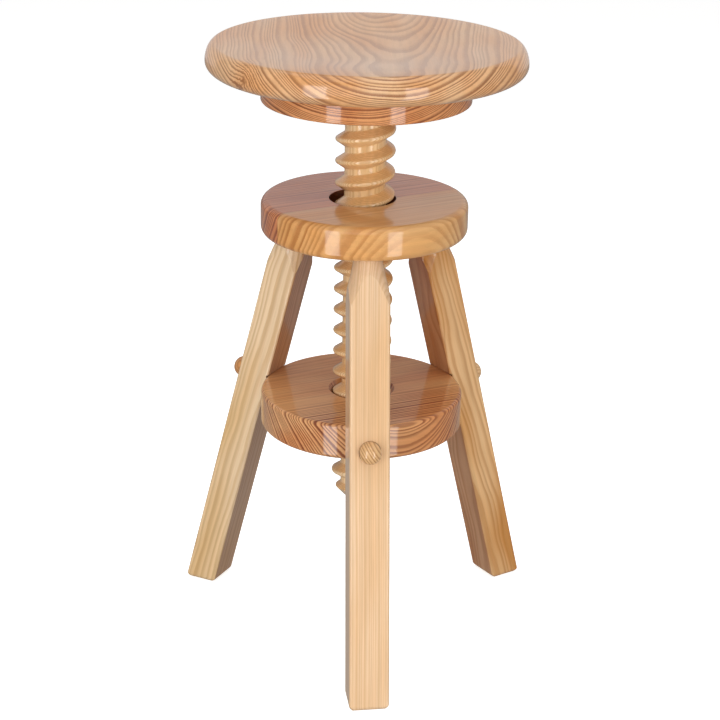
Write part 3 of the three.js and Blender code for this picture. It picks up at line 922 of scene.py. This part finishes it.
def make_guide_board(name, node, side, slot, material, painted_hole_shade):
    """One of the two boards of the guide disc: side -1 is in front of the glue line, +1 behind."""
    bm = revolve(rounded_disc(GUIDE_BOTTOM, GUIDE_TOP, GUIDE_EDGE_ROUND), LARGE_SEGMENTS)
    across = Vector((-math.sin(GUIDE_JOINT_ANGLE), math.cos(GUIDE_JOINT_ANGLE), 0))
    point = across * (GUIDE_JOINT_OFFSET + side * GLUE_LINE / 2)
    cut_half(bm, point, across * -side)
    board = new_object(name, about_axis(bm))
    edge = GUIDE_HOLE_EDGE
    hole = revolve(
        [
            (0, GUIDE_BOTTOM - OVERSHOOT),
            (GUIDE_HOLE_RADIUS, GUIDE_BOTTOM - OVERSHOOT),
            *arc((GUIDE_HOLE_RADIUS + edge, GUIDE_TOP - edge), (edge, edge), 180, 90, 4),
            (GUIDE_HOLE_RADIUS + edge, GUIDE_TOP + OVERSHOOT),
            (0, GUIDE_TOP + OVERSHOOT),
        ],
        LARGE_SEGMENTS,
    )
    hole_centre = Vector((GUIDE_HOLE_SHIFT, 0, 0))
    hole.transform(Matrix.Translation(hole_centre))
    combine(board, about_axis(hole))
    mortise_low = LEG_TOP_ALONG - LEG_CLEAR_ABOVE
    mortise_high = LEG_TOP_ALONG + LEG_TENON_LENGTH + GAP
    for leg in LEGS.values():
        mortise = rod(LEG_TENON_RADIUS + GAP, mortise_low, mortise_high)
        combine(board, about_axis(along_leg(mortise), leg["direction"]))
    smooth(board)
    finish_piece(board, node, "base", slot, material, painted_hole_shade)

    # The hole's wall gets a near black copy of the pine: painted shade inside the bore.
    def in_hole(polygon):
        from_centre = polygon.center - AXIS - hole_centre
        return abs(polygon.normal.z) < 0.5 and from_centre.xy.length < GUIDE_HOLE_RADIUS + edge / 2

    paint(board, 1, in_hole)


def make_guide_disc():
    glue = (math.cos(GUIDE_JOINT_ANGLE), math.sin(GUIDE_JOINT_ANGLE), 0)
    across = Vector((-glue[1], glue[0], 0))
    front_pine = pine(
        "guide_front_pine",
        pith=AXIS + across * 0.19 + Vector((0, 0, GUIDE_TOP + 0.07)),
        grain=glue,
        spacing=6.6 * MM,
        early=(0.73, 0.42, 0.175),
        late=(0.40, 0.13, 0.025),
        tint=(0.72, 0.35, 0.11),
        contrast=0.95,
        side_contrast=0.3,
        wave=3 * MM,
        seed=5.0,
    )
    back_pine = pine(
        "guide_back_pine",
        pith=AXIS + across * 0.17 + Vector((0, 0, GUIDE_TOP + 0.08)),
        grain=glue,
        spacing=4.2 * MM,
        early=(0.68, 0.26, 0.10),
        late=(0.17, 0.03, 0.01),
        tint=(0.54, 0.17, 0.06),
        side_contrast=0.5,
        wave=3 * MM,
        seed=8.4,
    )
    # A near black copy of the back board's pine, which paints the shade on the hole's wall.
    painted_hole_shade = pine(
        "painted_hole_shade_pine",
        pith=AXIS + across * 0.17 + Vector((0, 0, GUIDE_TOP + 0.08)),
        grain=glue,
        spacing=4.2 * MM,
        early=(0.17, 0.055, 0.022),
        late=(0.08, 0.02, 0.008),
        tint=(0.13, 0.04, 0.015),
        seed=8.4,
    )
    make_guide_board("front_board", "guide_disc_front_board", -1, "golden_pine", front_pine, painted_hole_shade)
    make_guide_board("back_board", "guide_disc_back_board", 1, "red_pine", back_pine, painted_hole_shade)


def make_nut_disc():
    outline = rounded_disc(NUT_BOTTOM, NUT_TOP, NUT_EDGE_ROUND)
    nut = new_object("threaded_disc", about_axis(revolve(outline, LARGE_SEGMENTS)))
    bottom, top = NUT_BOTTOM - 4 * OVERSHOOT, NUT_TOP + 4 * OVERSHOOT
    thread = helix(bottom, top, NUT_RADIAL_CLEARANCE, NUT_AXIAL_CLEARANCE, segments=64, steps=20)
    cut_half(thread, (0, 0, top), (0, 0, 1))
    cut_half(thread, (0, 0, bottom), (0, 0, -1))
    combine(nut, about_axis(thread))
    mouth = NUT_MOUTH_RADIUS - NUT_MOUTH_DEPTH
    for face, inward in ((NUT_TOP, -1), (NUT_BOTTOM, 1)):
        sink = revolve(
            [
                (0, face + inward * NUT_MOUTH_DEPTH),
                (mouth, face + inward * NUT_MOUTH_DEPTH),
                (NUT_MOUTH_RADIUS + OVERSHOOT, face - inward * OVERSHOOT),
                (0, face - inward * OVERSHOOT),
            ],
            SMALL_SEGMENTS,
        )
        combine(nut, about_axis(sink))
    for leg in LEGS.values():
        hole = along_peg(rod(PEG_RADIUS + GAP, -PEG_INSIDE_LENGTH - GAP, 0), leg)
        combine(nut, about_axis(hole, leg["direction"]))
    smooth(nut)
    from_pith = Vector((0.289, -0.628, 0.722))  # at right angles to the grain
    material = pine(
        "nut_pine",
        pith=AXIS + Vector((0, 0, (NUT_BOTTOM + NUT_TOP) / 2)) - from_pith * 0.22,
        grain=(0.953, 0.291, -0.08),
        spacing=3.0 * MM,
        early=(0.73, 0.38, 0.16),
        late=(0.17, 0.025, 0.008),
        tint=(0.64, 0.26, 0.09),
        side_contrast=0.22,
        strong_from=0.235,
        wave=3 * MM,
        seed=1.7,
    )
    finish_piece(nut, "nut_disc", "base", "red_pine", material)


# ---- Legs and pegs ---------------------------------------------------------------------------


def direction_vectors(degrees):
    """Outwards and sideways unit vectors of the leg that points that way."""
    angle = math.radians(degrees)
    return Vector((math.cos(angle), math.sin(angle), 0)), Vector((-math.sin(angle), math.cos(angle), 0))


def long_corners(bm):
    """The post's four upright corners, with the rounded foot's corners below them."""
    corners = []
    for edge in bm.edges:
        middle = (edge.verts[0].co + edge.verts[1].co) / 2
        if len(edge.link_faces) != 2 or all(v.co.z > LEG_TOP - MM for v in edge.verts):
            continue
        angle = edge.link_faces[0].normal.angle(edge.link_faces[1].normal)
        if angle > math.radians(60) and abs(abs(middle.y) - LEG_WIDTH / 2) < LEG_FOOT_ROUND + MM:
            corners.append(edge)
    return corners


def leg_post(turn):
    """The squared part of the leg drawn along +X, sheared so that its foot lies level."""
    bm = bmesh.new()
    bmesh.ops.create_cube(bm, size=1)
    size = Matrix.Diagonal((LEG_LEVEL_DEPTH, LEG_WIDTH, LEG_TOP, 1))
    bm.transform(Matrix.Translation((0, 0, LEG_TOP / 2)) @ size)
    foot = [e for e in bm.edges if all(v.co.z < MM for v in e.verts)]
    bmesh.ops.bevel(bm, geom=foot, offset=LEG_FOOT_ROUND, segments=5, profile=0.5, affect="EDGES")
    bmesh.ops.bevel(bm, geom=long_corners(bm), offset=LEG_EDGE_ROUND, segments=4, profile=0.5, affect="EDGES")
    bm.transform(Matrix.Rotation(math.radians(turn), 4, "Z"))
    for vertex in bm.verts:
        vertex.co.x += leg_centre(vertex.co.z)
    return bm


def shoulder_envelope():
    """The room that the turned shoulder leaves for the post, drawn upright."""
    top = LEG_TOP_ALONG
    shoulder = bezier(
        [
            (LEG_SHOULDER_RADIUS, top - LEG_SHOULDER_LENGTH),
            (LEG_SHOULDER_CURVE_RADIUS, top - LEG_SHOULDER_LENGTH / 2),
            (LEG_NECK_RADIUS, top),
        ],
        24,
    )
    outline = [
        (0, -LEG_CLEAR_BELOW),
        (LEG_CLEAR_RADIUS, -LEG_CLEAR_BELOW),
        (LEG_CLEAR_RADIUS, top - 2 * LEG_SHOULDER_LENGTH),
        *shoulder,
        (LEG_NECK_RADIUS - 2 * MM, top + LEG_CLEAR_ABOVE),
        (0, top + LEG_CLEAR_ABOVE),
    ]
    return revolve(outline, LEG_SEGMENTS)


def make_leg(side, material, painted_shade_material):
    """The post with its turned shoulder and tenon, its housing for the nut disc and its peg hole."""
    leg = LEGS[side]
    direction = leg["direction"]
    post = new_object(f"{side}_leg", about_axis(leg_post(leg["turn"]), direction))
    turned = along_leg(shoulder_envelope())
    combine(post, about_axis(turned, direction), "INTERSECT")
    tenon = along_leg(rod(LEG_TENON_RADIUS, LEG_TOP_ALONG - LEG_TENON_ROOT, LEG_TOP_ALONG + LEG_TENON_LENGTH))
    combine(post, about_axis(tenon, direction), "UNION")
    housing = rod(LEG_HOUSING_RADIUS, NUT_BOTTOM - GAP, NUT_TOP + GAP, 2 * LARGE_SEGMENTS)
    combine(post, about_axis(housing))
    hole = along_peg(rod(PEG_RADIUS + GAP, -PEG_INSIDE_LENGTH - GAP, PEG_HOLE_OUTSIDE), leg)
    combine(post, about_axis(hole, direction))
    smooth(post)
    finish_piece(post, f"leg_{side}", "base", "pale_pine", material, painted_shade_material)
    # The faces turned inwards get the darker copy of the wood, as painted shade.
    inwards = -direction_vectors(direction + leg["turn"])[0]
    paint(post, 1, lambda polygon: polygon.normal.dot(inwards) > INNER_FACE_LIMIT)


def make_peg(side, material):
    """A round peg with a chamfered inner end and a domed outer one."""
    leg = LEGS[side]
    inner = -PEG_INSIDE_LENGTH
    profile = [
        (0, inner),
        (PEG_RADIUS - PEG_CHAMFER, inner),
        (PEG_RADIUS, inner + PEG_CHAMFER),
        *arc((0, PEG_STUB_LENGTH), (PEG_RADIUS, PEG_DOME_HEIGHT), 0, 90, 20),
    ]
    shape = along_peg(revolve(profile, SMALL_SEGMENTS), leg)
    peg = new_object(f"{side}_peg", about_axis(shape, leg["direction"]))
    smooth(peg)
    finish_piece(peg, f"peg_{side}", "base", "golden_pine", material)


LEG_WOODS = {
    "front": {
        "spacing": 2.4 * MM,
        "early": (0.81, 0.57, 0.36),
        "late": (0.62, 0.35, 0.16),
        "tint": (0.75, 0.48, 0.26),
        "contrast": 0.7,
        "wave": 2 * MM,
        "wave_length": 0.14,
    },
    "left": {
        "spacing": 4.4 * MM,
        "early": (0.88, 0.66, 0.42),
        "late": (0.54, 0.29, 0.10),
        "tint": (0.77, 0.50, 0.23),
        "contrast": 0.65,
        "wave": 9 * MM,
        "wave_along": 0.6,
    },
    "right": {
        "spacing": 6.5 * MM,
        "early": (0.82, 0.52, 0.26),
        "late": (0.46, 0.17, 0.03),
        "tint": (0.60, 0.27, 0.07),
        "contrast": 0.7,
        "wave": 14 * MM,
        "wave_length": 0.07,
        "wave_along": 0.6,
    },
}
# How far each leg's pith lies outside its foot, how far to its side, and how much more it leans.
LEG_PITHS = {"front": (0.10, 0.16, 0.0), "left": (-0.045, -0.03, 0.03), "right": (-0.05, -0.03, 0.05)}
INNER_FACE_PAINTED_SHADE = (0.74, 0.60, 0.56)  # painted shade: the legs' inner faces get a darker, redder copy of their wood


# The pale wood and the dark rings of each peg.
PEG_COLOURS = {
    "front": ((0.74, 0.46, 0.22), (0.40, 0.18, 0.06)),
    "left": ((0.64, 0.31, 0.11), (0.36, 0.13, 0.04)),
    "right": ((0.80, 0.52, 0.27), (0.50, 0.25, 0.09)),
}


def make_legs():
    for number, side in enumerate(LEGS):
        outward, sideways = direction_vectors(LEGS[side]["direction"])
        out, aside, lean = LEG_PITHS[side]
        wood = dict(LEG_WOODS[side], seed=20.0 + 3.3 * number)
        wood["grain"] = Vector((0, 0, 1)) - outward * (math.tan(LEG_SPLAY) + lean)
        wood["pith"] = AXIS + outward * (LEG_FOOT_RADIUS + out) + sideways * aside
        # A darker, redder copy of the leg's wood for its inner faces, as painted shade.
        inner = dict(wood)
        for shade in ("early", "late", "tint"):
            inner[shade] = tuple(level * share for level, share in zip(wood[shade], INNER_FACE_PAINTED_SHADE))
        make_leg(side, pine(f"{side}_leg_pine", **wood), pine(f"{side}_leg_inner_painted_shade_pine", **inner))


def make_pegs():
    for number, (side, leg) in enumerate(LEGS.items()):
        to_leg = direction_vectors(leg["direction"])[0]
        outward, sideways = direction_vectors(leg["direction"] + leg["turn"])
        early, late = PEG_COLOURS[side]
        rise = math.radians(leg["peg_rise"])
        head = AXIS + to_leg * leg_centre(leg["peg_height"]) + outward * LEG_LEVEL_DEPTH / 2
        material = pine(
            f"{side}_peg_pine",
            pith=head + sideways * 0.08 + Vector((0, 0, leg["peg_height"] + 0.05)),
            grain=outward * math.cos(rise) + Vector((0, 0, math.sin(rise))),
            spacing=2.9 * MM,
            early=early,
            late=late,
            tint=early,
            wave=1 * MM,
            seed=40.0 + number,
        )
        make_peg(side, material)


make_camera()
make_stage()
make_seat()
make_hub_plate()
make_metal_screws()
make_spindle()
make_guide_disc()
make_nut_disc()
make_legs()
make_pegs()
